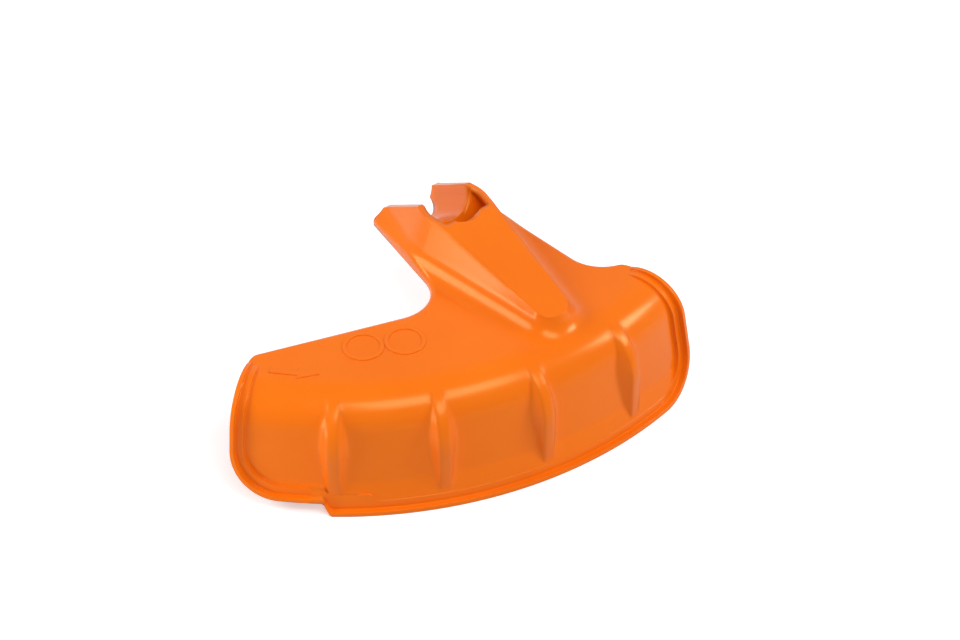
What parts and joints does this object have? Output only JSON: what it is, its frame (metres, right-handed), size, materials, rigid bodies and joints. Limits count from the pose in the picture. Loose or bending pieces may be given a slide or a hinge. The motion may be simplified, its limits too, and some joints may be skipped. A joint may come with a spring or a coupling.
{
  "type": "trimmer blade guard",
  "caption": "Curved plastic guard for a garden trimmer: ribbed skirt, flat deck with a stepped lip, and an arm ending in a half-round seat that clamps to the drive tube.",
  "frame": {"origin": "on the axis of the tube seat, where the seat meets the arm's level top", "axes": "+X across the arm, -Y from the tube seat towards the skirt, +Z parallel to the cutting axis, away from the cutting plane"},
  "size_m": [0.2256, 0.154, 0.0803],
  "materials": {
    "orange_plastic": "smooth gloss, moulded through in orange"
  },
  "bodies": {
    "root": {"guard": "orange_plastic"}
  },
  "joints": []
}
